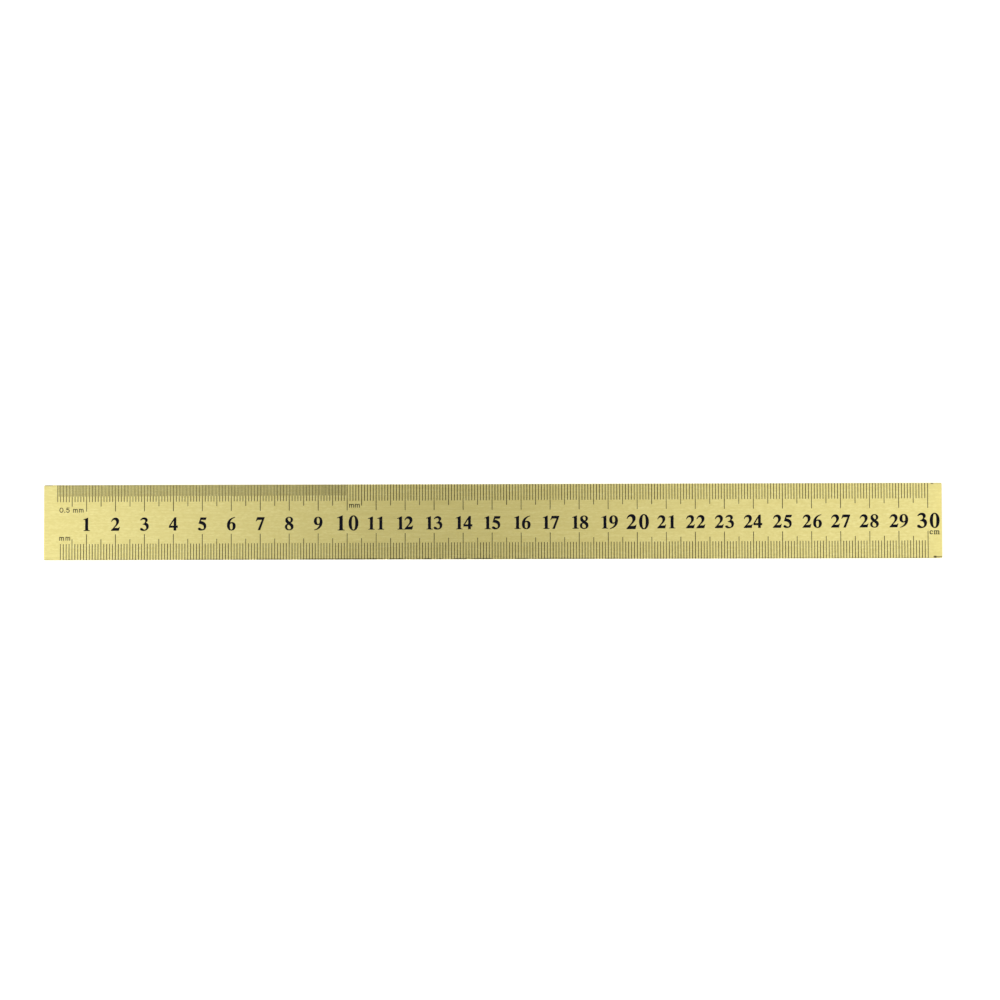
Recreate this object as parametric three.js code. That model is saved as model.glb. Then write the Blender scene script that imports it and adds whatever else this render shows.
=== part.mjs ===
// A 30 cm brass ruler: a flat metal strip that carries two metric scales and their numerals in black enamel.
//
// Frame, in millimetres: X runs along the scales from 0 towards 30 cm, Y runs across the ruler from the lower
// scale to the upper one, and Z is up. The origin is the centre of the back face, on which the ruler lies.
// Seen from above with +Y up, the numerals stand upright.
import * as THREE from "three";

// The strip.
const LENGTH = 309.6;
const WIDTH = 25.9;
const THICKNESS = 1.0;
const CORNER_RADIUS = 0.3;
const ARRIS = 0.15; // radius to which the edges of both faces are eased
const ARC_STEPS = 3;
const ARRIS_STEPS = 2;

// The enamel.
const FILM = 0.05; // how far it stands above the front face
const LINE_WIDTH = 0.23;
const HALF_LINE_WIDTH = 0.17; // the half-millimetre lines are finer
const BEAD = 0.1; // width of the enamel along the arris, where the lines of one scale run together

// The scales. The zero line stands this far inside the strip's left end.
const ZERO_MARGIN = 4.75;
const LAST_MM = 300;
const HALF_SCALE_END = 100; // as far as here the upper scale shows half millimetres
const HALF_MM_LINE = 3.8;
const MM_LINE = 5.7;
const FIVE_MM_LINE = 7.3;
const CM_LINE = 9.0;

// The artwork lies a little high on the strip and climbs towards 30 cm, so the upper lines grow shorter.
const ART_LIFT = 0.13; // at mid length
const ART_SLOPE = 0.00185; // per millimetre of length

// The numerals, one for each centimetre, in bold roman figures. 10, 20 and 30 are larger.
const LAST_CM = 30;
const EM = 6.6;
const EM_OF_TENS = 7.5;
const NUMERAL_DROP = 0.49; // from the artwork's middle down to the figures' middle
const DROP_OF_TENS = 0.4;
const NUMERAL_SHIFT = {
  // how far to the right of its line a numeral stands, where it isn't centred
  10: 0.2, 11: -0.05, 14: 0.3, 15: 0.1, 16: 0.4, 17: 0.3, 18: 0.35, 19: 0.5, 20: 0.15, 22: 0.1, 24: -0.15,
  26: 0.2, 28: -0.2, 30: 0.15,
};
const SPREAD = 0.045; // how far the enamel runs out past a figure's drawn outline

// Outlines of the figures on an em of 1000 units, baseline at 0: the outer one first, then any holes.
// M moves to a point, L draws a line to one, and C draws a Bezier curve with two handles and an end.
// Outer outlines run clockwise and holes run anticlockwise.
const FIGURES = {
  0: [
    `M 250 688 C 384 688 476 540 476 337 C 476 135 384 -13 250 -13
     C 116 -13 24 135 24 337 C 24 540 116 688 250 688`,
    `M 250 640 C 200 640 172 555 172 337 C 172 119 200 35 250 35
     C 300 35 328 119 328 337 C 328 555 300 640 250 640`,
  ],
  1: [
    `M 306 688 L 326 688 L 326 110 C 326 48 342 28 400 26 L 418 25 L 418 0 L 92 0 L 92 25 L 112 26
     C 160 28 174 48 174 110 L 174 498 C 174 556 162 576 134 576 C 114 576 96 572 74 564 L 66 588`,
  ],
  2: [
    `M 478 200 L 425 0 L 17 0 L 17 30 L 185 218 C 250 292 288 350 288 440 C 288 525 250 573 188 573
     C 130 573 88 538 52 468 L 24 476 C 60 610 140 688 246 688 C 360 688 436 612 436 505
     C 436 415 390 345 308 262 L 190 145 L 330 145 C 400 145 425 162 452 207`,
  ],
  3: [
    `M 28 548 C 70 642 145 690 234 690 C 337 690 412 634 412 552 C 412 500 382 455 325 420
     C 422 385 470 320 470 232 C 470 90 360 -14 196 -14 C 92 -14 16 23 16 76 C 16 112 41 138 77 138
     C 108 138 130 126 168 92 C 200 63 225 52 250 52 C 303 52 340 95 340 160 C 340 255 265 315 150 318
     L 150 348 C 240 366 283 425 283 495 C 283 552 248 588 196 588 C 142 588 97 568 55 530`,
  ],
  4: [
    `M 400 690 L 400 255 L 478 255 L 478 145 L 400 145 L 400 0 L 262 0 L 262 145 L 17 145 L 17 235
     L 305 690`,
    "M 264 250 L 264 514 L 98 250",
  ],
  5: [
    `M 469 676 L 422 545 L 185 545 L 168 488 C 350 462 450 370 450 226 C 450 85 345 -10 188 -10
     C 88 -10 20 25 20 78 C 20 114 47 140 84 140 C 114 140 138 128 174 98 C 206 72 222 62 248 62
     C 300 62 328 100 328 165 C 328 265 245 332 60 348 L 48 352 L 152 676`,
  ],
  6: [
    `M 478 224 C 478 82 387 -14 255 -14 C 113 -14 25 92 25 262 C 25 480 180 660 448 690 L 454 662
     C 310 618 215 530 188 392 C 220 416 248 426 290 426 C 402 426 478 345 478 224`,
    `M 258 362 C 200 362 174 322 174 232 C 174 100 205 32 260 32
     C 304 32 326 82 326 195 C 326 305 308 362 258 362`,
  ],
  7: ["M 86 676 L 478 676 L 478 652 L 244 0 L 116 0 L 334 538 L 165 538 C 102 538 70 510 40 460 L 16 466"],
  8: [
    `M 250 690 C 368 690 448 627 448 534 C 448 462 408 414 330 374 C 428 322 475 264 475 181
     C 475 65 387 -14 248 -14 C 110 -14 25 60 25 165 C 25 240 70 290 158 326 C 78 384 46 440 46 515
     C 46 619 128 690 250 690`,
    `M 250 645 C 204 645 174 616 174 567 C 174 514 212 468 286 420
     C 318 452 330 484 330 532 C 330 604 298 645 250 645`,
    `M 206 288 C 162 254 144 220 144 165 C 144 82 187 32 252 32
     C 309 32 342 67 342 122 C 342 181 304 224 206 288`,
  ],
};
const FIGURE_MIDDLE = 337.5; // half the height of the figures, in the same units
const FIGURE_STEPS = 4; // straight pieces to each curve
const SHARPEST = 0.6; // keeps a spread corner from running out to a spike: 1 over its reach in spreads
const PITCH = { tens: 570, teens: 450, twenties: 545 }; // from one figure to the next
const ODD_PITCH = { 11: 490, 12: 430, 24: 500, 29: 515 }; // the numerals that are set wider or closer

const BRASS = new THREE.MeshStandardMaterial({ color: 0xdbd08c, metalness: 1, roughness: 0.35 });
const ENAMEL = new THREE.MeshStandardMaterial({ color: 0x0c0e16, metalness: 0, roughness: 0.45 });

const ruler = new THREE.Group();

function addPiece(name, geometry, material, x, y, z) {
  const mesh = new THREE.Mesh(geometry, material);
  mesh.name = name;
  mesh.position.set(x, y, z);
  ruler.add(mesh);
}

// Enamel lies on the front face of the strip.
function addEnamel(name, shape, x = 0, y = 0) {
  const film = new THREE.ExtrudeGeometry(shape, {
    depth: FILM,
    curveSegments: FIGURE_STEPS,
    bevelEnabled: false,
  });
  addPiece(name, film, ENAMEL, x, y, THICKNESS);
}

function addBlade() {
  const x = LENGTH / 2 - CORNER_RADIUS;
  const y = WIDTH / 2 - CORNER_RADIUS;
  const outline = new THREE.Shape();
  outline.absarc(x, -y, CORNER_RADIUS, -Math.PI / 2, 0);
  outline.absarc(x, y, CORNER_RADIUS, 0, Math.PI / 2);
  outline.absarc(-x, y, CORNER_RADIUS, Math.PI / 2, Math.PI);
  outline.absarc(-x, -y, CORNER_RADIUS, Math.PI, Math.PI * 1.5);
  const strip = new THREE.ExtrudeGeometry(outline, {
    depth: THICKNESS - 2 * ARRIS,
    curveSegments: ARC_STEPS,
    bevelThickness: ARRIS,
    bevelSize: ARRIS,
    bevelOffset: -ARRIS,
    bevelSegments: ARRIS_STEPS,
  });
  addPiece("blade", strip, BRASS, 0, 0, ARRIS);
}

const scaleX = (mm) => ZERO_MARGIN + mm - LENGTH / 2;
const artLift = (x) => ART_LIFT + ART_SLOPE * x;

const lineWidth = (mm) => (Number.isInteger(mm) ? LINE_WIDTH : HALF_LINE_WIDTH);

function lineLength(mm) {
  if (!Number.isInteger(mm)) return HALF_MM_LINE;
  if (mm === 0) return MM_LINE;
  if (mm % 10 === 0) return CM_LINE;
  return mm % 5 === 0 ? FIVE_MM_LINE : MM_LINE;
}

// The lines of one scale, along the strip's upper edge (side 1) or its lower edge (side -1).
function addScale(name, side, firstMm, lastMm, stepMm) {
  const edge = side * (WIDTH / 2 - ARRIS);
  const root = edge - side * BEAD;
  const points = [new THREE.Vector2(scaleX(firstMm) - lineWidth(firstMm) / 2, edge)];
  for (let mm = firstMm; mm <= lastMm; mm += stepMm) {
    const x = scaleX(mm);
    const half = lineWidth(mm) / 2;
    const tip = side * (WIDTH / 2 - lineLength(mm)) + artLift(x);
    if (mm > firstMm) points.push(new THREE.Vector2(x - half, root));
    points.push(new THREE.Vector2(x - half, tip), new THREE.Vector2(x + half, tip));
    if (mm < lastMm) points.push(new THREE.Vector2(x + half, root));
  }
  points.push(new THREE.Vector2(scaleX(lastMm) + lineWidth(lastMm) / 2, edge));
  addEnamel(name, new THREE.Shape(points));
}

function drawOutline(path, outline, place) {
  for (const [, command, list] of outline.matchAll(/([MLC])([^MLC]+)/g)) {
    const numbers = list.trim().split(/\s+/).map(Number);
    const placed = [];
    for (let i = 0; i < numbers.length; i += 2) placed.push(...place(numbers[i], numbers[i + 1]));
    if (command === "M") path.moveTo(...placed);
    if (command === "L") path.lineTo(...placed);
    if (command === "C") path.bezierCurveTo(...placed);
  }
  return path;
}

// Moves each point of a closed outline to its left, which is away from the enamel, by the spread.
function spreadOutline(points) {
  const corners = points.filter((point, i) => point.distanceTo(points.at(i - 1)) > SPREAD / 10);
  return corners.map((corner, i) => {
    const arriving = corner.clone().sub(corners.at(i - 1)).normalize();
    const leaving = corners[(i + 1) % corners.length].clone().sub(corner).normalize();
    const left = new THREE.Vector2(-arriving.y, arriving.x);
    const outward = left.clone().add(new THREE.Vector2(-leaving.y, leaving.x)).normalize();
    return corner.clone().addScaledVector(outward, SPREAD / Math.max(outward.dot(left), SHARPEST));
  });
}

// A figure in millimetres, its middle height at y = 0. A nine is a six turned upside down.
function figureShape(figure, em) {
  const unit = em / 1000;
  const turn = figure === 9 ? -1 : 1;
  const startX = figure === 9 ? 501 : 0;
  const place = (x, y) => [(startX + turn * x) * unit, turn * (y - FIGURE_MIDDLE) * unit];
  const outlines = FIGURES[figure === 9 ? 6 : figure].map((outline) =>
    spreadOutline(drawOutline(new THREE.Path(), outline, place).getPoints(FIGURE_STEPS)),
  );
  const shape = new THREE.Shape(outlines[0]);
  shape.holes = outlines.slice(1).map((points) => new THREE.Path(points));
  return shape;
}

function figurePitch(cm) {
  if (cm in ODD_PITCH) return ODD_PITCH[cm];
  if (cm % 10 === 0) return PITCH.tens;
  return cm < 20 ? PITCH.teens : PITCH.twenties;
}

function addNumeral(cm) {
  const em = cm % 10 === 0 ? EM_OF_TENS : EM;
  const figures = [...String(cm)].map((digit) => figureShape(Number(digit), em));
  const pitch = (figurePitch(cm) * em) / 1000;
  const width = new THREE.Box2();
  figures.forEach((shape, i) => {
    for (const point of shape.getPoints()) {
      width.expandByPoint(point.add(new THREE.Vector2(i * pitch, 0)));
    }
  });
  const x = scaleX(cm * 10) + (NUMERAL_SHIFT[cm] ?? 0);
  const left = x - (width.min.x + width.max.x) / 2;
  const y = artLift(x) - (cm % 10 === 0 ? DROP_OF_TENS : NUMERAL_DROP);
  const places = figures.length === 1 ? [""] : ["_tens", "_units"];
  figures.forEach((shape, i) => addEnamel(`numeral_${cm}${places[i]}`, shape, left + i * pitch, y));
}

addBlade();
addScale("upper_half_millimetre_lines", 1, 0, HALF_SCALE_END, 0.5);
addScale("upper_millimetre_lines", 1, HALF_SCALE_END + 1, LAST_MM, 1);
addScale("lower_millimetre_lines", -1, 1, LAST_MM, 1);
for (let cm = 1; cm <= LAST_CM; cm++) addNumeral(cm);

export default ruler;
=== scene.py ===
"""A 30 cm brass ruler: a brushed strip with enamelled scales, figures and legends, on a pale floor."""

import math
import random
import re

import bmesh
import bpy
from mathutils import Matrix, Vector


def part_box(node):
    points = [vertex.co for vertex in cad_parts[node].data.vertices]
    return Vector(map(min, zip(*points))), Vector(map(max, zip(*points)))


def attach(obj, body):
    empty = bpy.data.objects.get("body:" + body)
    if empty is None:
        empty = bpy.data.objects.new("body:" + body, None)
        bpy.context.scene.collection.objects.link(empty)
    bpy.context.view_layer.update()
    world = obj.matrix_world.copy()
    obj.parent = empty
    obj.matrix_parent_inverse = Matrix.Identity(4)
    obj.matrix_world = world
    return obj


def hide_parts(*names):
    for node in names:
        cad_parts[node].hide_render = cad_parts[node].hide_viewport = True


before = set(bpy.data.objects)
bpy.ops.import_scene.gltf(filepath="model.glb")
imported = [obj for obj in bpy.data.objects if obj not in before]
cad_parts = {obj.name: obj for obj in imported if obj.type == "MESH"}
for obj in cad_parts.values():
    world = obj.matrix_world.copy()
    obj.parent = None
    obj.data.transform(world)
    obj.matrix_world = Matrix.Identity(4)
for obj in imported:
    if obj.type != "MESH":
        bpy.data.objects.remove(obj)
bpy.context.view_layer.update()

MM = 0.001

# The strip, from the frame.
BLADE_LO, BLADE_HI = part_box("blade")
HALF_LENGTH = (BLADE_HI.x - BLADE_LO.x) / 2
HALF_WIDTH = (BLADE_HI.y - BLADE_LO.y) / 2
THICKNESS = BLADE_HI.z - BLADE_LO.z
ARRIS = 0.15 * MM
CORNER_RADIUS = 0.3 * MM

# The enamel. It stands a little above the front face and reaches into it, so that no faces coincide.
FILM = 0.03 * MM
FILM_ROOT = 0.02 * MM
FILM_EDGE = 0.012 * MM  # how far the film's rounded edge runs in from its outline
FIGURE_MARGIN = 0.045 * MM  # a CAD figure's box lies this far outside its drawn outline
SPREAD = 0.02 * MM  # how far the film runs out past that outline
LEGEND_SPREAD = 0.045 * MM
LINE_WIDTH = 0.23 * MM
HALF_LINE_WIDTH = 0.17 * MM

# The scales. The half-millimetre scale's own box gives the place of zero and the length of a millimetre.
HALF_SCALE_MM = 100
LAST_MM = 300
SCALE_LO, SCALE_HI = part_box("upper_half_millimetre_lines")
SCALE_STEP = (SCALE_HI.x - SCALE_LO.x - LINE_WIDTH) / HALF_SCALE_MM
ZERO_X = SCALE_LO.x + LINE_WIDTH / 2
HALF_MM_LINE = 3.8 * MM
MM_LINE = 5.7 * MM
FIVE_MM_LINE = 7.3 * MM
CM_LINE = 9.0 * MM
ART_LIFT = 0.13 * MM  # the artwork lies this much high at mid length
ART_SLOPE = 0.00185  # and climbs this much for each metre of length

SEED = 30


# ---------------------------------------------------------------- node trees

class NodeTree:
    """Adds shader nodes to a tree. A node's input is a number, a colour or another node's output."""

    def __init__(self, tree):
        self.nodes, self.links = tree.nodes, tree.links

    def add(self, kind, inputs, settings=None, output=0):
        node = self.nodes.new("ShaderNode" + kind)
        for name, value in (settings or {}).items():
            setattr(node, name, value)
        for socket, value in inputs.items():
            if isinstance(value, bpy.types.NodeSocket):
                self.links.new(value, node.inputs[socket])
            else:
                node.inputs[socket].default_value = value
        return node.outputs[output]

    def remap(self, value, low, high, to_low=0.0, to_high=1.0, curve="LINEAR"):
        inputs = {"Value": value, "From Min": low, "From Max": high, "To Min": to_low, "To Max": to_high}
        return self.add("MapRange", inputs, {"interpolation_type": curve})

    def math(self, operation, a, b):
        return self.add("Math", {0: a, 1: b}, {"operation": operation})

    def blend(self, factor, a, b):
        return self.add("Mix", {0: factor, 6: a, 7: b}, {"data_type": "RGBA"}, output=2)


class Surface(NodeTree):
    """A Principled material. What varies over it comes from noise in the object's own coordinates."""

    def __init__(self, name, constants):
        self.material = bpy.data.materials.new(name)
        self.material.use_nodes = True
        super().__init__(self.material.node_tree)
        self.shader = self.nodes["Principled BSDF"]
        for socket, value in constants.items():
            self.shader.inputs[socket].default_value = value

    def noise(self, size, detail=2.0, turn=0.0, shift=0.0):
        """Noise whose grains have this size in metres along X, Y and Z, turned about Z by an angle."""
        place = self.add("TexCoord", {}, output="Object")
        inputs = {"Vector": place, "Scale": size, "Rotation": (0, 0, turn), "Location": (shift, shift, 0)}
        grain = self.add("Mapping", inputs, {"vector_type": "TEXTURE"})
        return self.add("TexNoise", {"Vector": grain, "Scale": 1.0, "Detail": detail, "Roughness": 0.6})

    def attribute(self, name):
        return self.add("Attribute", {}, {"attribute_name": name}, output="Fac")

    def drive(self, socket, value):
        self.links.new(value, self.shader.inputs[socket])


# ---------------------------------------------------------------- camera, light and floor

# The camera stands almost straight above the ruler's middle, as in the photograph.
LENS_MM = 94
SENSOR_MM = 36
CAMERA_PLACE = (0.01056, -0.03251, 0.90041)
CAMERA_TURN = (2.542, 0.508, -0.133)  # degrees about X, Y and Z


def add_camera():
    data = bpy.data.cameras.new("camera")
    data.lens = LENS_MM
    data.sensor_width = SENSOR_MM
    camera = bpy.data.objects.new("camera", data)
    camera.location = CAMERA_PLACE
    camera.rotation_euler = [math.radians(angle) for angle in CAMERA_TURN]
    bpy.context.collection.objects.link(camera)
    bpy.context.scene.camera = camera


def add_softbox(name, place, size, power):
    """A rectangular lamp that faces the ruler's middle."""
    data = bpy.data.lights.new(name, "AREA")
    data.shape = "RECTANGLE"
    data.size, data.size_y = size
    data.energy = power
    lamp = bpy.data.objects.new(name, data)
    lamp.location = place
    lamp.rotation_euler = (-Vector(place)).to_track_quat("-Z", "Y").to_euler()
    bpy.context.collection.objects.link(lamp)


# The light from overhead, along X: place in the band, level, and share of blue. Left of the middle it is
# darkest, and brown.
OVERHEAD = (
    (0.0, 0.55, 1.0), (0.1, 0.85, 1.0), (0.27, 1.2, 1.0), (0.4, 0.08, 0.0), (0.47, 0.08, 0.0),
    (0.6, 1.1, 0.9), (0.75, 1.25, 1.0), (1.0, 1.2, 0.95),
)
OVERHEAD_REACH = 0.25  # half the width of that band, in units of the direction's X
BROWN_GREEN = 0.8  # the share of green where the band has no blue

# The levels of the rest of the studio: the white haze right above the floor, the walls, the white cloth that
# hangs around the band overhead, and the near side, which is open.
HAZE = 1.05
WALLS = 0.65
CANOPY = 1.38
NEAR_SIDE = 0.45

# Where each of them starts and where it is full: the direction's Z, and for the near side its Y.
HAZE_RANGE = (0.2, 0.06)
CANOPY_RANGE = (0.3, 0.8)
OVERHEAD_RANGE = (0.75, 0.93)
NEAR_SIDE_RANGE = (-0.45, -0.85)

KEY_PLACE = (-0.7, -0.5, 1.1)
KEY_SIZE = (0.8, 0.6)
KEY_WATTS = 5


def grey(level):
    return (level, level, level, 1)


def add_studio():
    """White haze low down, walls that brighten upwards, uneven light overhead, a softbox on the left."""
    world = bpy.data.worlds.new("studio")
    world.use_nodes = True
    bpy.context.scene.world = world
    tree = NodeTree(world.node_tree)
    direction = tree.add("TexCoord", {}, output="Generated")
    x, y, z = (tree.add("SeparateXYZ", {0: direction}, output=axis) for axis in "XYZ")
    band = tree.add("ValToRGB", {0: tree.remap(x, -OVERHEAD_REACH, OVERHEAD_REACH)})
    ramp = band.node.color_ramp
    while len(ramp.elements) < len(OVERHEAD):
        ramp.elements.new(0.5)
    for element, (position, level, blue) in zip(ramp.elements, OVERHEAD):
        element.position = position
        element.color = (level, level * (BROWN_GREEN + (1 - BROWN_GREEN) * blue), level * blue, 1)
    around = tree.remap(z, *CANOPY_RANGE, WALLS, CANOPY, "SMOOTHSTEP")
    near = tree.remap(y, *NEAR_SIDE_RANGE, curve="SMOOTHSTEP")
    around = tree.blend(near, around, grey(NEAR_SIDE))
    low = tree.remap(z, *HAZE_RANGE, curve="SMOOTHSTEP")
    around = tree.blend(low, around, grey(HAZE))
    overhead = tree.remap(z, *OVERHEAD_RANGE, curve="SMOOTHSTEP")
    tree.links.new(tree.blend(overhead, around, band), tree.nodes["Background"].inputs["Color"])
    add_softbox("key_light", KEY_PLACE, KEY_SIZE, KEY_WATTS)
    bpy.context.scene.view_settings.view_transform = "Standard"


FLOOR_HALF = 6.0
FLOOR_Z = -0.02 * MM  # just clear of the ruler's back
FLOOR_WHITE = 0.96
FLOOR_GLOW = 0.3


def add_floor():
    """A wide white light table: it glows a little, so the ruler's shadow nearly vanishes."""
    corners = [(x * FLOOR_HALF, y * FLOOR_HALF, FLOOR_Z) for x, y in ((-1, -1), (1, -1), (1, 1), (-1, 1))]
    mesh = bpy.data.meshes.new("floor")
    mesh.from_pydata(corners, [], [(0, 1, 2, 3)])
    floor = bpy.data.objects.new("floor", mesh)
    matt = {"Base Color": grey(FLOOR_WHITE), "Roughness": 1.0, "Specular IOR Level": 0.0}
    glow = {"Emission Color": grey(1.0), "Emission Strength": FLOOR_GLOW}
    mesh.materials.append(Surface("light_table", matt | glow).material)
    bpy.context.collection.objects.link(floor)


# ---------------------------------------------------------------- materials

# Brass, in linear colour: the brushing's darker and lighter streaks, the mottling, the yellower clouds, worn
# edges, brass under grime and painted shade, and brass under a dark mark.
DARK_STREAK = (0.745, 0.66, 0.262, 1)
LIGHT_STREAK = (0.85, 0.773, 0.342, 1)
MOTTLED = (0.735, 0.648, 0.25, 1)
CLOUDED = (0.73, 0.634, 0.235, 1)
WORN = (0.80, 0.69, 0.24, 1)
DIRT_AND_SHADE_COLOUR = (0.07, 0.062, 0.03, 1)
DARK_MARK_COLOUR = (0.05, 0.035, 0.018, 1)
BRUSHING_DEPTH = 0.006 * MM

DARK_INK = (0.001, 0.0015, 0.005, 1)
LIGHT_INK = (0.003, 0.004, 0.010, 1)
INK_GRAIN_DEPTH = 0.004 * MM


def brass():
    """Rolled brass, brushed along its length, with mottling, worn arrises, grime with painted shade, and dark
    marks.
    """
    surface = Surface("brushed_brass", {"Metallic": 1.0, "Anisotropic": 0.9, "Anisotropic Rotation": 0.25})
    fine = surface.noise((9 * MM, 0.12 * MM, 0.12 * MM), detail=3)
    medium = surface.noise((14 * MM, 0.36 * MM, 0.36 * MM), shift=0.2)
    mottle = surface.noise((1.3 * MM, 0.6 * MM, 0.6 * MM), detail=3, shift=0.5)
    cloud = surface.noise((22 * MM, 14 * MM, 14 * MM), detail=3, shift=0.7)
    grime_and_shade = surface.remap(surface.noise((5 * MM, 1.0 * MM, 1.0 * MM), detail=3, shift=0.9), 0.42, 0.52)
    scratch_a = surface.remap(surface.noise((9 * MM, 0.12 * MM, 1.0), turn=0.12, shift=1.3), 0.68, 0.74)
    scratch_b = surface.remap(surface.noise((7 * MM, 0.10 * MM, 1.0), turn=-0.19, shift=2.1), 0.69, 0.75)
    scratches = surface.math("MAXIMUM", scratch_a, scratch_b)
    fine_share = surface.math("MULTIPLY", fine, 0.45)
    medium_share = surface.math("MULTIPLY", medium, 0.55)
    streaks = surface.math("ADD", fine_share, medium_share)

    colour = surface.blend(surface.remap(streaks, 0.40, 0.60), DARK_STREAK, LIGHT_STREAK)
    colour = surface.blend(surface.remap(mottle, 0.35, 0.65), colour, MOTTLED)
    colour = surface.blend(surface.remap(cloud, 0.5, 0.75, 0.0, 0.3), colour, CLOUDED)
    worn = surface.math("MULTIPLY", surface.attribute("wear"), surface.remap(medium, 0.35, 0.6, 0.4, 1.0))
    colour = surface.blend(worn, colour, WORN)
    # Grime and painted shade darken the front arrises, most of all the lower one left of the middle.
    dirt_and_shade = surface.math("MULTIPLY", surface.attribute("grime_and_shade"), grime_and_shade)
    colour = surface.blend(dirt_and_shade, colour, DIRT_AND_SHADE_COLOUR)
    colour = surface.blend(surface.attribute("dark_mark"), colour, DARK_MARK_COLOUR)
    darkening = surface.math("MAXIMUM", surface.attribute("dark_mark"), dirt_and_shade)
    surface.drive("Base Color", colour)

    rough = surface.remap(streaks, 0.35, 0.65, 0.30, 0.36)
    rough = surface.math("ADD", rough, surface.remap(mottle, 0.3, 0.7, -0.02, 0.03))
    rough = surface.math("SUBTRACT", rough, surface.math("MULTIPLY", worn, 0.08))
    spoiled = surface.math("MAXIMUM", scratches, darkening)
    rough = surface.math("ADD", rough, surface.math("MULTIPLY", spoiled, 0.12))
    surface.drive("Roughness", rough)

    height = surface.math("SUBTRACT", streaks, surface.math("MULTIPLY", scratches, 0.6))
    bump = surface.add("Bump", {"Height": height, "Strength": 0.25, "Distance": BRUSHING_DEPTH})
    surface.drive("Normal", bump)
    surface.drive("Tangent", surface.add("Tangent", {}, {"direction_type": "UV_MAP", "uv_map": "grain"}))
    return surface.material


def enamel():
    """Black printing enamel: semi-matt, with a little unevenness in its colour, gloss and surface."""
    surface = Surface("black_enamel", {"Metallic": 0.0, "Specular IOR Level": 0.05})
    flow = surface.noise((0.8 * MM, 0.8 * MM, 0.8 * MM), detail=3)
    grain = surface.noise((0.06 * MM, 0.06 * MM, 0.06 * MM), detail=2, shift=0.3)
    surface.drive("Base Color", surface.blend(flow, DARK_INK, LIGHT_INK))
    surface.drive("Roughness", surface.remap(flow, 0.3, 0.7, 0.38, 0.55))
    bump = surface.add("Bump", {"Height": grain, "Strength": 0.2, "Distance": INK_GRAIN_DEPTH})
    surface.drive("Normal", bump)
    return surface.material


# ---------------------------------------------------------------- mesh tools

def add_piece(name, mesh, material, slot, *nodes):
    """Makes the mesh a piece that rides on the ruler and, if nodes are given, stands for them."""
    mesh.materials.append(material)
    piece = bpy.data.objects.new(name, mesh)
    bpy.context.collection.objects.link(piece)
    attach(piece, "root")
    if nodes:
        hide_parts(*nodes)
    return piece


def face_outwards(mesh, weld=0.0):
    work = bmesh.new()
    work.from_mesh(mesh)
    if weld:
        bmesh.ops.remove_doubles(work, verts=work.verts, dist=weld)
    bmesh.ops.recalc_face_normals(work, faces=work.faces)
    work.to_mesh(mesh)
    work.free()


def loft(rings, first_vertex=0):
    """Faces between rings of equal length, each closed, with a cap at both ends."""
    count = len(rings[0])
    faces = [tuple(first_vertex + i for i in range(count))]
    for row in range(len(rings) - 1):
        start = first_vertex + row * count
        for i in range(count):
            after = (i + 1) % count
            faces.append((start + i, start + after, start + count + after, start + count + i))
    last = first_vertex + (len(rings) - 1) * count
    faces.append(tuple(last + i for i in range(count)))
    return faces


# ---------------------------------------------------------------- the strip

# How finely the strip is divided: around its section, and along it.
ARRIS_STEPS = 5
SIDE_STEPS = 3
EDGE_ROWS = (0.1 * MM, 0.2 * MM, 0.32 * MM, 0.45 * MM, 0.6 * MM, 0.9 * MM)  # from the arris inwards
FACE_STEPS = 12
END_STEPS = 8  # rings of the rounding at each end
NEAR_RINGS = 20  # rings close together beside that rounding
NEAR_START = 0.5 * MM
NEAR_STEP = 0.2 * MM
MIDDLE_STEPS = 200
LEAST_RADIUS = 0.2 * ARRIS
SHARP_ANGLE = math.radians(50)

# Dents and dark marks beside the front arris: place along X, edge (1 upper, -1 lower), distance of its middle
# from that edge, half length, half width, depth, and how dark it is.
MARKS = (
    (HALF_LENGTH - 2.5 * MM, -1, 0.42 * MM, 0.5 * MM, 0.38 * MM, 0.12 * MM, 0.95),
    (HALF_LENGTH - 1.2 * MM, -1, 0.48 * MM, 1.7 * MM, 0.2 * MM, 0.06 * MM, 0.6),
    (-HALF_LENGTH + 1.5 * MM, 1, 0.05 * MM, 1.6 * MM, 0.22 * MM, 0.05 * MM, 0.5),
    (HALF_LENGTH - 3.4 * MM, 1, 0.10 * MM, 0.4 * MM, 0.3 * MM, 0.08 * MM, 0.9),
)

MARKED_ABOVE = 0.55 * THICKNESS  # the marks are on the front only
DARK_MARK_GAIN = 1.6  # the mark is as dark as it gets before the dent is deepest

# Grime on the front arrises, with painted shade: most of all along the lower one, left of the middle.
GRIME_AND_SHADE_REACH = 0.5 * MM
GRIME_AND_SHADE_X = -0.03
GRIME_AND_SHADE_SPAN = 0.055
UPPER_GRIME_AND_SHADE = 0.15
LOWER_GRIME_AND_SHADE = 0.25  # the least of it along the lower arris
END_WEAR = 0.6  # the face is a little yellower at the right end, where the ruler is held
END_WEAR_REACH = 3 * MM


def face_rows(half):
    """Places across a face, from one arris to the other: close together at its edges."""
    inner = half - EDGE_ROWS[-1]
    middle = [-inner + 2 * inner * i / FACE_STEPS for i in range(FACE_STEPS + 1)]
    edge = [half - row for row in EDGE_ROWS[:-1]]
    return [-y for y in edge] + middle + edge[::-1]


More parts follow.
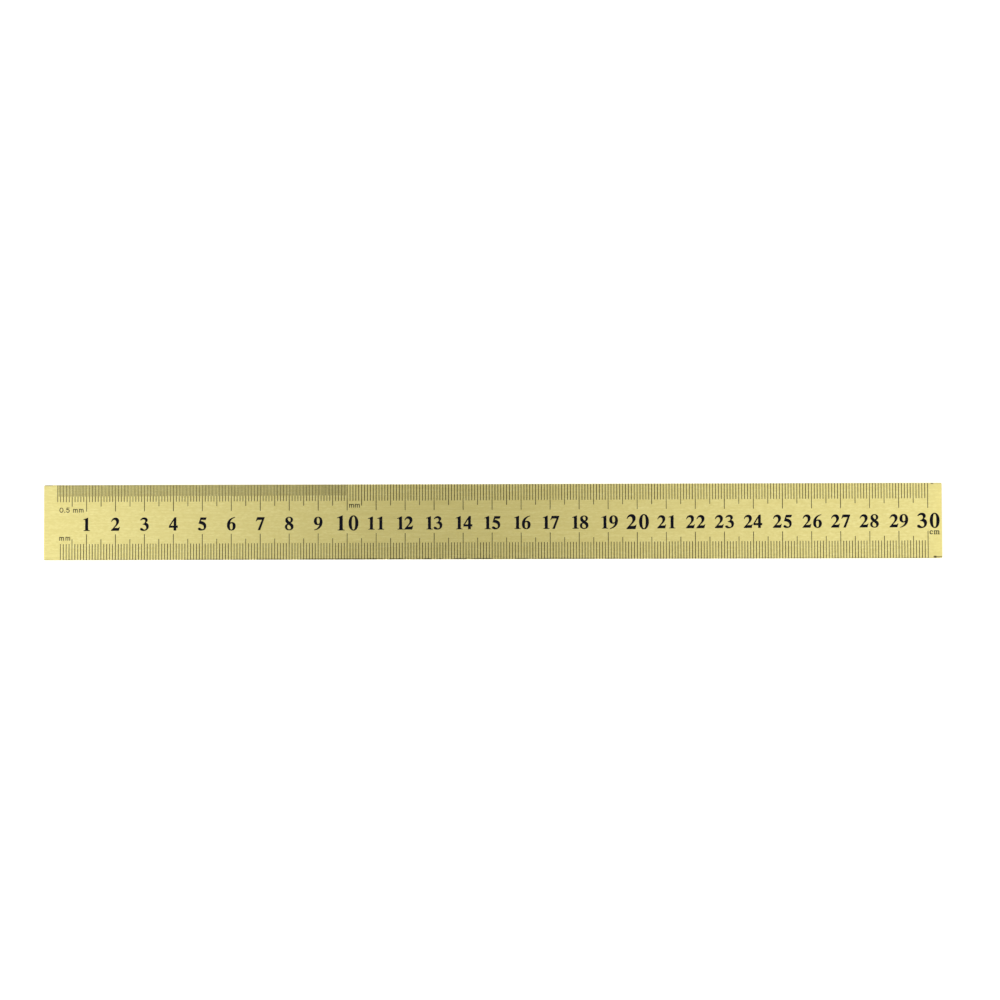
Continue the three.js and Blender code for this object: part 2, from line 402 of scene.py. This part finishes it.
def strip_ring(x, half_width, half_height, radius):
    """The strip's outline in the plane at x: an arc at each corner and a flat to the next one."""
    y, z = half_width - radius, half_height - radius
    rows = face_rows(y)
    levels = [-z + 2 * z * i / SIDE_STEPS for i in range(1, SIDE_STEPS)]
    corners = ((y, -z, -90), (y, z, 0), (-y, z, 90), (-y, -z, 180))
    flats = (
        [(half_width, level) for level in levels],
        [(row, half_height) for row in reversed(rows)],
        [(-half_width, level) for level in reversed(levels)],
        [(row, -half_height) for row in rows],
    )
    ring = []
    for (corner_y, corner_z, start), flat in zip(corners, flats):
        for i in range(ARRIS_STEPS + 1):
            angle = math.radians(start + 90 * i / ARRIS_STEPS)
            ring.append((x, corner_y + radius * math.cos(angle), corner_z + radius * math.sin(angle)))
        ring += [(x, row, level) for row, level in flat]
    return [Vector((px, py, pz + THICKNESS / 2)) for px, py, pz in ring]


def strip_columns():
    """How far each ring near an end stands inside that end, with its insets in width and height."""
    columns = []
    for i in range(END_STEPS + 1):
        angle = math.pi / 2 * i / END_STEPS
        inset = CORNER_RADIUS * (1 - math.cos(angle))
        rise = max(0.0, ARRIS - inset)
        columns.append((inset, CORNER_RADIUS * (1 - math.sin(angle)), ARRIS - math.sqrt(ARRIS**2 - rise**2)))
    return columns + [(NEAR_START + NEAR_STEP * i, 0.0, 0.0) for i in range(NEAR_RINGS)]


def mark_at(point):
    """How strongly a mark shows at this point of the front, from 0 to 1, with its depth and its darkness."""
    for x, edge, inset, half_length, half_width, depth, darkness in MARKS:
        along = abs(point.x - x) / half_length
        across = abs(HALF_WIDTH - inset - edge * point.y) / half_width
        if along < 1 and across < 1 and point.z > MARKED_ABOVE:
            return math.sqrt(1 - along**2) * (1 - across**2), depth, darkness
    return 0.0, 0.0, 0.0


def wear(point):
    """1 on a sharp edge, where two of the ruler's sides meet, and 0 on a face away from the right end."""
    sides = (HALF_LENGTH - abs(point.x), HALF_WIDTH - abs(point.y), min(point.z, THICKNESS - point.z))
    handled = END_WEAR * math.exp((point.x - HALF_LENGTH) / END_WEAR_REACH)
    return max(handled, 1 - sorted(sides)[1] / ARRIS)


def grime_and_shade(point):
    """How much grime and painted shade lies here, from 0 to 1."""
    if point.z < THICKNESS / 2:
        return 0.0
    nearness = min(1.0, max(0.0, 2 - 2 * (HALF_WIDTH - abs(point.y)) / GRIME_AND_SHADE_REACH))
    if point.y > 0:
        return UPPER_GRIME_AND_SHADE * nearness
    along = math.exp(-(((point.x - GRIME_AND_SHADE_X) / GRIME_AND_SHADE_SPAN) ** 2))
    return nearness * (LOWER_GRIME_AND_SHADE + (1 - LOWER_GRIME_AND_SHADE) * along)


def add_strip(material):
    ends = strip_columns()
    inner = HALF_LENGTH - ends[-1][0]
    columns = [(-HALF_LENGTH + inset, narrow, low) for inset, narrow, low in ends]
    columns += [(-inner + 2 * inner * i / MIDDLE_STEPS, 0.0, 0.0) for i in range(1, MIDDLE_STEPS)]
    columns += [(HALF_LENGTH - inset, narrow, low) for inset, narrow, low in reversed(ends)]
    rings = []
    for x, narrow, low in columns:
        radius = max(ARRIS - low, LEAST_RADIUS)
        rings.append(strip_ring(x, HALF_WIDTH - narrow, THICKNESS / 2 - low, radius))
    points = [point for ring in rings for point in ring]
    wears = [wear(point) for point in points]
    grime_and_shade_values = [grime_and_shade(point) for point in points]
    dark_mark_values = []
    for point in points:
        share, depth, darkness = mark_at(point)
        dark_mark_values.append(min(darkness, DARK_MARK_GAIN * share))
        point.z -= depth * share
    mesh = bpy.data.meshes.new("brushed_strip")
    mesh.from_pydata(points, [], loft(rings))
    for name, values in (("wear", wears), ("grime_and_shade", grime_and_shade_values), ("dark_mark", dark_mark_values)):
        mesh.attributes.new(name, "FLOAT", "POINT").data.foreach_set("value", values)
    add_grain_uv(mesh, len(rings[0]))
    face_outwards(mesh)
    mesh.shade_smooth()
    mesh.set_sharp_from_angle(angle=SHARP_ANGLE)
    piece = add_piece("brushed_strip", mesh, material, "brass_strip", "blade")
    piece.modifiers.new("flat_faces", "WEIGHTED_NORMAL").keep_sharp = True


def add_grain_uv(mesh, ring_count):
    """A map whose U runs along the ruler, which gives the brushing its direction everywhere."""
    grain = mesh.uv_layers.new(name="grain")
    for loop in mesh.loops:
        point = mesh.vertices[loop.vertex_index].co
        across = (loop.vertex_index % ring_count) / ring_count
        grain.data[loop.index].uv = (point.x / (2 * HALF_LENGTH) + 0.5, across)


# ---------------------------------------------------------------- the scales

TIP_JITTER = 0.02 * MM
WIDTH_JITTER = 0.1
OVER_ARRIS = [math.radians(angle) for angle in (0, 22, 44, 66)]  # where a line crosses the arris
SHOULDER = 0.5  # the film's height at its outline, as a share of its full height


def line_length(mm):
    if mm != int(mm):
        return HALF_MM_LINE
    if mm == 0:
        return MM_LINE
    if mm % 10 == 0:
        return CM_LINE
    return FIVE_MM_LINE if mm % 5 == 0 else MM_LINE


def art_lift(x):
    return ART_LIFT + ART_SLOPE * x


def line_path(side, tip):
    """A line's course in Y and Z, from its tip over the arris, with the surface's normal at each point."""
    flat_end = HALF_WIDTH - ARRIS
    path = [(tip, THICKNESS, 0.0, 1.0), (tip + side * FILM_EDGE, THICKNESS, 0.0, 1.0)]
    for angle in OVER_ARRIS:
        across, up = math.sin(angle), math.cos(angle)
        path.append((side * (flat_end + ARRIS * across), THICKNESS - ARRIS * (1 - up), side * across, up))
    return path


def line_rings(x, width, path):
    """The film along a path. Its section has rounded shoulders, and it starts low at the tip."""
    half = width / 2
    rings = []
    for i, (y, z, across, up) in enumerate(path):
        top = FILM * (SHOULDER if i == 0 else 1.0)
        section = (
            (-half, -FILM_ROOT), (-half, top * SHOULDER), (-half + FILM_EDGE, top),
            (half - FILM_EDGE, top), (half, top * SHOULDER), (half, -FILM_ROOT),
        )
        rings.append([Vector((x + dx, y + across * rise, z + up * rise)) for dx, rise in section])
    return rings


def add_scale(name, material, node, side, first, last, step):
    """All lines of one scale, each a strip of enamel of its own."""
    chance = random.Random(SEED + first + side)
    points, faces = [], []
    mm = first
    while mm <= last:
        x = ZERO_X + SCALE_STEP * mm
        tip = side * (HALF_WIDTH - line_length(mm)) + art_lift(x) + chance.uniform(-TIP_JITTER, TIP_JITTER)
        width = LINE_WIDTH if mm == int(mm) else HALF_LINE_WIDTH
        width *= chance.uniform(1 - WIDTH_JITTER, 1 + WIDTH_JITTER)
        rings = line_rings(x, width, line_path(side, tip))
        faces += loft(rings, len(points))
        points += [point for ring in rings for point in ring]
        mm += step
    mesh = bpy.data.meshes.new(name)
    mesh.from_pydata(points, [], faces)
    face_outwards(mesh)
    add_piece(name, mesh, material, "black_enamel", node)


# ---------------------------------------------------------------- figures and signs

EM_UNITS = 1000
CURVE_STEPS = 8
WELD = 0.2  # in units of the em

# The figures, in bold roman, on an em of 1000 units with its baseline at 0. Each has its outer outline first,
# then any holes. M moves to a point, L draws a line to one, and C draws a curve with two handles and an end.
FIGURES = {
    "0": (
        """M 250 688 C 384 688 476 540 476 337 C 476 135 384 -13 250 -13
        C 116 -13 24 135 24 337 C 24 540 116 688 250 688""",
        """M 250 640 C 200 640 172 555 172 337 C 172 119 200 35 250 35
        C 300 35 328 119 328 337 C 328 555 300 640 250 640""",
    ),
    "1": (
        """M 306 688 L 326 688 L 326 110 C 326 48 342 28 400 26 L 418 25 L 418 0 L 92 0 L 92 25 L 112 26
        C 160 28 174 48 174 110 L 174 498 C 174 556 162 576 134 576 C 114 576 96 572 74 564 L 66 588""",
    ),
    "2": (
        """M 478 200 L 425 0 L 17 0 L 17 30 L 185 218 C 250 292 288 350 288 440 C 288 525 250 573 188 573
        C 130 573 88 538 52 468 L 24 476 C 60 610 140 688 246 688 C 360 688 436 612 436 505
        C 436 415 390 345 308 262 L 190 145 L 330 145 C 400 145 425 162 452 207""",
    ),
    "3": (
        """M 28 548 C 70 642 145 690 234 690 C 337 690 412 634 412 552 C 412 500 382 455 325 420
        C 422 385 470 320 470 232 C 470 90 360 -14 196 -14 C 92 -14 16 23 16 76 C 16 112 41 138 77 138
        C 108 138 130 126 168 92 C 200 63 225 52 250 52 C 303 52 340 95 340 160 C 340 255 265 315 150 318
        L 150 348 C 240 366 283 425 283 495 C 283 552 248 588 196 588 C 142 588 97 568 55 530""",
    ),
    "4": (
        """M 400 690 L 400 255 L 478 255 L 478 145 L 400 145 L 400 0 L 262 0 L 262 145 L 17 145 L 17 235
        L 305 690""",
        "M 264 250 L 264 514 L 98 250",
    ),
    "5": (
        """M 469 676 L 422 545 L 185 545 L 168 488 C 350 462 450 370 450 226 C 450 85 345 -10 188 -10
        C 88 -10 20 25 20 78 C 20 114 47 140 84 140 C 114 140 138 128 174 98 C 206 72 222 62 248 62
        C 300 62 328 100 328 165 C 328 265 245 332 60 348 L 48 352 L 152 676""",
    ),
    "6": (
        """M 478 224 C 478 82 387 -14 255 -14 C 113 -14 25 92 25 262 C 25 480 180 660 448 690 L 454 662
        C 310 618 215 530 188 392 C 220 416 248 426 290 426 C 402 426 478 345 478 224""",
        """M 258 362 C 200 362 174 322 174 232 C 174 100 205 32 260 32
        C 304 32 326 82 326 195 C 326 305 308 362 258 362""",
    ),
    "7": (
        """M 86 676 L 478 676 L 478 652 L 244 0 L 116 0 L 334 538 L 165 538
        C 102 538 70 510 40 460 L 16 466""",
    ),
    "8": (
        """M 250 690 C 368 690 448 627 448 534 C 448 462 408 414 330 374 C 428 322 475 264 475 181
        C 475 65 387 -14 248 -14 C 110 -14 25 60 25 165 C 25 240 70 290 158 326 C 78 384 46 440 46 515
        C 46 619 128 690 250 690""",
        """M 250 645 C 204 645 174 616 174 567 C 174 514 212 468 286 420
        C 318 452 330 484 330 532 C 330 604 298 645 250 645""",
        """M 206 288 C 162 254 144 220 144 165 C 144 82 187 32 252 32
        C 309 32 342 67 342 122 C 342 181 304 224 206 288""",
    ),
}

# The legends' signs: thin upright sans letters, and a light roman c and m.
SIGNS = {
    "0": (
        """M 270 742 C 430 742 536 600 536 371 C 536 142 430 0 270 0
        C 110 0 4 142 4 371 C 4 600 110 742 270 742""",
        """M 270 670 C 145 670 76 560 76 371 C 76 182 145 72 270 72
        C 395 72 464 182 464 371 C 464 560 395 670 270 670""",
    ),
    ".": ("M 0 90 L 90 90 L 90 0 L 0 0",),
    "5": (
        """M 60 742 L 430 742 L 430 672 L 124 672 L 104 470 C 145 500 190 514 240 514
        C 365 514 448 420 448 262 C 448 95 350 -10 210 -10 C 95 -10 18 60 4 172 L 76 182
        C 92 100 138 57 208 57
        C 312 57 376 140 376 262 C 376 376 320 447 230 447 C 170 447 124 424 92 378 L 26 388""",
    ),
    "m": (
        """M 4 0 L 4 539 L 205 539 C 250 539 290 525 318 496 L 344 468 L 370 496 C 398 525 438 539 478 539
        C 570 539 620 480 620 380 L 620 0 L 550 0 L 550 368 C 550 438 520 474 462 474
        C 393 474 348 424 348 345 L 348 0 L 278 0 L 278 370 C 278 440 248 474 190 474
        C 122 474 74 420 74 335 L 74 0""",
    ),
    "roman_c": (
        """M 405 150 C 352 88 310 66 258 66 C 165 66 112 140 112 252 C 112 352 158 420 232 420
        C 272 420 290 404 300 370 C 310 332 328 314 358 314 C 385 314 404 332 404 355
        C 404 415 335 460 245 460 C 120 460 25 360 25 225 C 25 85 110 -10 235 -10 C 312 -10 370 34 420 140""",
    ),
    "roman_m": (
        """M 16 15 C 52 15 82 49 82 90 L 82 330 C 82 375 58 400 16 400 L 16 420
        L 152 460 L 164 457 L 164 395 L 212 438 C 226 450 265 460 310 460 C 345 460 372 448 388 424
        L 408 394 L 454 436 C 472 452 510 460 555 460 C 630 460 668 405 668 310 L 668 80
        C 668 40 700 14 740 14 L 770 14 L 770 0 L 524 0 L 524 14 C 558 14 582 48 582 90
        L 582 308 C 582 361 553 404 518 404 C 480 404 445 386 412 348 L 412 90
        C 412 48 438 14 468 14 L 468 0 L 276 0 L 276 14 C 304 14 328 48 328 90
        L 328 308 C 328 361 298 404 262 404 C 225 404 185 384 166 350
        L 166 80 C 166 44 190 14 222 14 L 222 0 L 16 0""",
    ),
}

# Each legend: size of the em, how tall its signs are for their width, height of its baseline above the middle
# of the strip, and its signs with their left edges, measured from the zero line. All lengths are in mm.
LEGENDS = {
    "legend_half_millimetre": (
        2.4, 0.92, 3.78, (("0", 0.65), (".", 2.35), ("5", 3.0), ("m", 5.4), ("m", 7.4)),
    ),
    "legend_millimetre_lower": (2.45, 0.92, -5.90, (("m", 0.65), ("m", 2.8))),
    "legend_millimetre_upper": (2.6, 0.84, 5.08, (("m", 100.7), ("m", 102.7))),
    "legend_centimetre": (2.8, 1.0, -5.0, (("roman_c", 300.5), ("roman_m", 301.95))),
}


def read_outline(outline):
    """The points of an outline, each with its handles before and after: None beside a straight line."""
    points = []
    for command, numbers in re.findall(r"([MLC])([^MLC]+)", outline):
        values = [float(number) for number in numbers.split()]
        pairs = [Vector((x, y, 0)) for x, y in zip(values[::2], values[1::2])]
        if command == "C":
            points[-1][2] = pairs[0]
            points.append([pairs[2], pairs[1], None])
        else:
            points.append([pairs[0], None, None])
    if (points[-1][0] - points[0][0]).length < 1:
        points[0][1] = points.pop()[1]
    return points


def film_mesh(name, outlines, em, spread):
    """Filled outlines as a mesh in units of the em: as high as the film, with rounded edges."""
    curve = bpy.data.curves.new(name, "CURVE")
    curve.dimensions = "2D"
    curve.fill_mode = "BOTH"
    curve.resolution_u = CURVE_STEPS
    unit = em / EM_UNITS
    curve.bevel_depth = FILM_EDGE / unit
    curve.bevel_resolution = 1
    curve.offset = (spread - FILM_EDGE) / unit
    curve.extrude = (FILM + FILM_ROOT) / 2 / unit - curve.bevel_depth
    for outline in outlines:
        points = read_outline(outline)
        spline = curve.splines.new("BEZIER")
        spline.bezier_points.add(len(points) - 1)
        spline.use_cyclic_u = True
        for bezier, (place, before, after) in zip(spline.bezier_points, points):
            bezier.co, bezier.handle_left, bezier.handle_right = place, before or place, after or place
            bezier.handle_left_type = "FREE" if before else "VECTOR"
            bezier.handle_right_type = "FREE" if after else "VECTOR"
    drawn = bpy.data.objects.new(name, curve)
    bpy.context.collection.objects.link(drawn)
    mesh = bpy.data.meshes.new_from_object(drawn.evaluated_get(bpy.context.evaluated_depsgraph_get()))
    bpy.data.objects.remove(drawn)
    bpy.data.curves.remove(curve)
    face_outwards(mesh, WELD)
    return mesh


def place_film(mesh, unit, left, baseline, tallness=1.0):
    """Brings a film from its em to its place on the front face."""
    middle = THICKNESS + (FILM - FILM_ROOT) / 2
    for vertex in mesh.vertices:
        x, y, z = vertex.co
        vertex.co = (left + x * unit, baseline + y * unit * tallness, middle + z * unit)


def add_figure(node, material):
    """The figure of a CAD node, such as numeral_12_tens, in that node's box."""
    _, number, *place = node.split("_")
    digit = number[0] if place == ["tens"] else number[-1]
    low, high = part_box(node)
    turned = digit == "9"
    outlines = FIGURES["6" if turned else digit]
    corners = [point[0] for point in read_outline(outlines[0])]
    bottom, top = min(p.y for p in corners), max(p.y for p in corners)
    left = min(p.x for p in corners)
    unit = (high.y - low.y - 2 * FIGURE_MARGIN) / (top - bottom)
    mesh = film_mesh("enamel_" + node, outlines, EM_UNITS * unit, SPREAD)
    if turned:
        right = max(p.x for p in corners)
        for vertex in mesh.vertices:
            vertex.co.xy = (left + right - vertex.co.x, bottom + top - vertex.co.y)
    place_film(mesh, unit, low.x + FIGURE_MARGIN - left * unit, low.y + FIGURE_MARGIN - bottom * unit)
    add_piece("enamel_" + node, mesh, material, "black_enamel", node)


def add_legend(name, em_mm, tallness, baseline_mm, signs, material):
    """One legend, its signs joined in one piece."""
    work = bmesh.new()
    em = em_mm * MM
    for sign, left_mm in signs:
        film = film_mesh(name, SIGNS[sign], em, LEGEND_SPREAD)
        x = ZERO_X + SCALE_STEP * left_mm
        place_film(film, em / EM_UNITS, x, baseline_mm * MM + art_lift(x) - ART_LIFT, tallness)
        work.from_mesh(film)
        bpy.data.meshes.remove(film)
    mesh = bpy.data.meshes.new(name)
    work.to_mesh(mesh)
    work.free()
    add_piece(name, mesh, material, "black_enamel")


# ---------------------------------------------------------------- the scene

add_camera()
add_studio()
add_floor()

add_strip(brass())
ink = enamel()
add_scale("enamel_half_millimetre_scale", ink, "upper_half_millimetre_lines", 1, 0, HALF_SCALE_MM, 0.5)
add_scale("enamel_upper_scale", ink, "upper_millimetre_lines", 1, HALF_SCALE_MM + 1, LAST_MM, 1)
add_scale("enamel_lower_scale", ink, "lower_millimetre_lines", -1, 1, LAST_MM, 1)
for node in sorted(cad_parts):
    if node.startswith("numeral_"):
        add_figure(node, ink)
for name, legend in LEGENDS.items():
    add_legend(name, *legend, ink)
